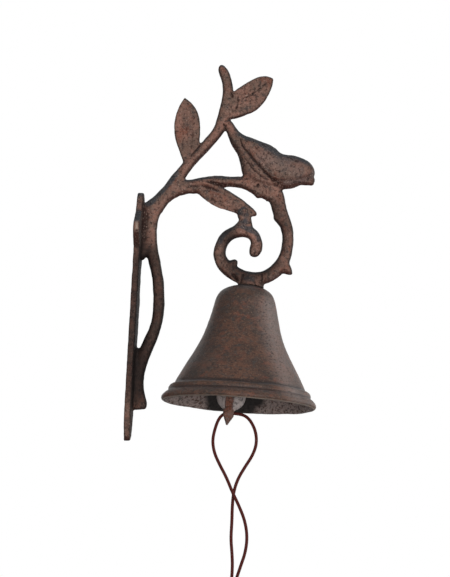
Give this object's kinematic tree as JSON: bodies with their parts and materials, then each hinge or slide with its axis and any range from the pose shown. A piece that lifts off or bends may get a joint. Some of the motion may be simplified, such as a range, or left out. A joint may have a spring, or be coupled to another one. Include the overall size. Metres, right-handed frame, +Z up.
{
  "type": "wall bell",
  "caption": "Cast-iron wall bell under a branch bracket with a perched bird, a scroll and leaves, rung by a cord looped through its clapper.",
  "frame": {"origin": "middle of the wall plate's back face", "axes": "+X out from the wall, +Y along the wall, +Z up"},
  "size_m": [0.1322, 0.108, 0.3841],
  "materials": {
    "cast_iron_bracket": "sand-cast, dark rust brown, rubbed edges",
    "cast_iron_bell": "sand-cast, dark rust brown, pitted",
    "cast_iron_clapper": "sand-cast, rusty",
    "zinc_steel": "dull, weathered",
    "cord": "thin round cord, matt"
  },
  "bodies": {
    "frame": {"bracket": "cast_iron_bracket", "bell": "cast_iron_bell", "eye_bolt": "zinc_steel", "crown_washer": "zinc_steel", "crown_nut": "zinc_steel"},
    "hook": {"clapper_hook": "zinc_steel"},
    "clapper": {"clapper": "cast_iron_clapper", "pull_cord": "cord", "cord_knot": "cord"}
  },
  "joints": [
    {"name": "hook_swing", "type": "hinge", "parent": "frame", "child": "hook", "pos_m": [0.0794, 0, 0.0079], "axis": [0, 1, 0], "range_deg": [-23, 18]},
    {"name": "clapper_swing", "type": "hinge", "parent": "hook", "child": "clapper", "pos_m": [0.07767, 0, -0.00831], "axis": [0.9943, 0, -0.1063], "range_deg": [-17, 17]}
  ]
}
